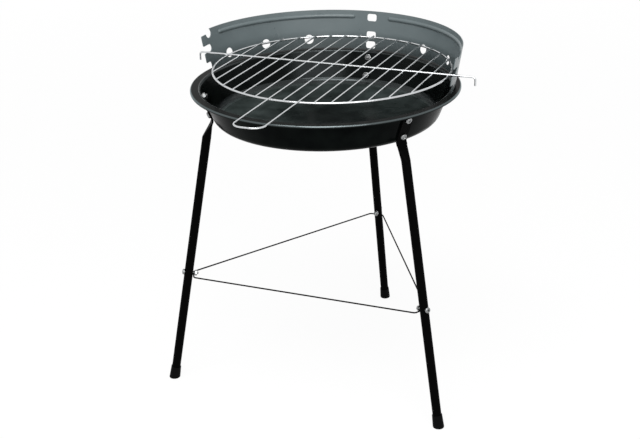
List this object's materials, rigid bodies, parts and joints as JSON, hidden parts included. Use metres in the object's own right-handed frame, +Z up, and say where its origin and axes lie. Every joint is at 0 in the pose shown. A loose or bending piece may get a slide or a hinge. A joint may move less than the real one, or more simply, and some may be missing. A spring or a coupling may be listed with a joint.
{
  "type": "round charcoal grill",
  "caption": "Round charcoal grill: shallow black fire bowl on splayed tube legs with a wire brace, grey notched windshield and a lift-out wire grate with a looped handle.",
  "frame": {"origin": "on the ground, in the middle of the width and midway between the handle's tip and the rear foot", "axes": "+Z up, +Y towards the rear leg and the windshield's slots, -Y towards the grate's handle, +X to the right as seen from the handle"},
  "size_m": [0.4152, 0.5076, 0.4807],
  "materials": {
    "bowl_enamel": "glossy black enamel on pressed sheet steel",
    "leg_paint": "glossy black paint on steel tube",
    "brace_paint": "black paint on steel wire",
    "windshield_paint": "satin grey paint on sheet steel",
    "grate_chrome": "bright chrome plating on steel wire",
    "zinc_fastener": "bright zinc plating",
    "foot_plastic": "black moulded plastic"
  },
  "bodies": {
    "stand": {"brace_bolts": "zinc_fastener", "brace_nuts": "zinc_fastener", "brace_wire": "brace_paint", "fire_bowl": "bowl_enamel", "foot_left": "foot_plastic", "foot_rear": "foot_plastic", "foot_right": "foot_plastic", "leg_bolts": "zinc_fastener", "leg_left": "leg_paint", "leg_nuts": "zinc_fastener", "leg_rear": "leg_paint", "leg_right": "leg_paint", "windshield": "windshield_paint"},
    "grate": {"grate_bar_left_2": "grate_chrome", "grate_bar_left_3": "grate_chrome", "grate_bar_left_4": "grate_chrome", "grate_bar_left_5": "grate_chrome", "grate_bar_left_6": "grate_chrome", "grate_bar_left_7": "grate_chrome", "grate_bar_right_2": "grate_chrome", "grate_bar_right_3": "grate_chrome", "grate_bar_right_4": "grate_chrome", "grate_bar_right_5": "grate_chrome", "grate_bar_right_6": "grate_chrome", "grate_bar_right_7": "grate_chrome", "grate_cross_wire": "grate_chrome", "grate_handle": "grate_chrome", "grate_ring": "grate_chrome", "grate_tongue_bar": "grate_chrome"}
  },
  "joints": [
    {"name": "grate_pull", "type": "slide", "parent": "stand", "child": "grate", "axis": [0, -0.9848, 0.1736], "range_m": [0, 0.4]}
  ]
}
